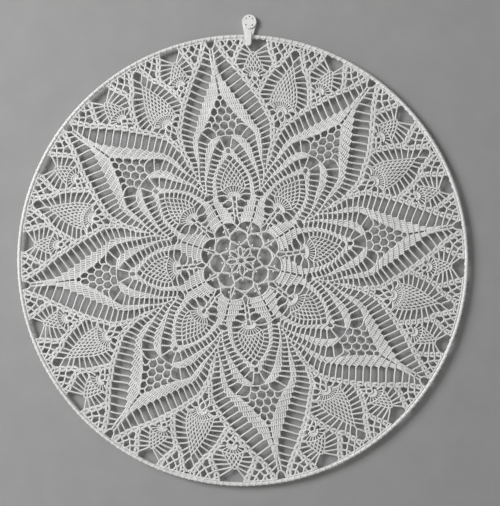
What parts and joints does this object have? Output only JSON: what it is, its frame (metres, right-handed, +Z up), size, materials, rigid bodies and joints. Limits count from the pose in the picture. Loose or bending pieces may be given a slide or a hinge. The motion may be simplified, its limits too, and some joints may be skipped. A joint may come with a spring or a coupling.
{
  "type": "crochet mandala doily in a metal hoop on a wall hook",
  "caption": "Round white crochet lace doily with a leaf star, pineapples and a honeycomb net, laced tight inside a thin metal hoop that hangs on a pinned plastic wall hook.",
  "frame": {"origin": "centre of the flat back of the hook's round head, where it lies on the wall", "axes": "+Y into the wall, so the lace faces -Y; +Z up; +X to the right as seen from the front"},
  "size_m": [0.5, 0.0172, 0.5228],
  "materials": {
    "cotton_lace": "undyed white cotton thread, crocheted",
    "white_hoop": "white coated round steel wire, satin",
    "white_plastic": "moulded white plastic, satin",
    "pin_steel": "plain hardened steel"
  },
  "bodies": {
    "root": {"doily": "cotton_lace", "hoop": "white_hoop", "hook": "white_plastic", "pin_1": "pin_steel", "pin_2": "pin_steel", "pin_3": "pin_steel", "pin_4": "pin_steel"}
  },
  "joints": []
}
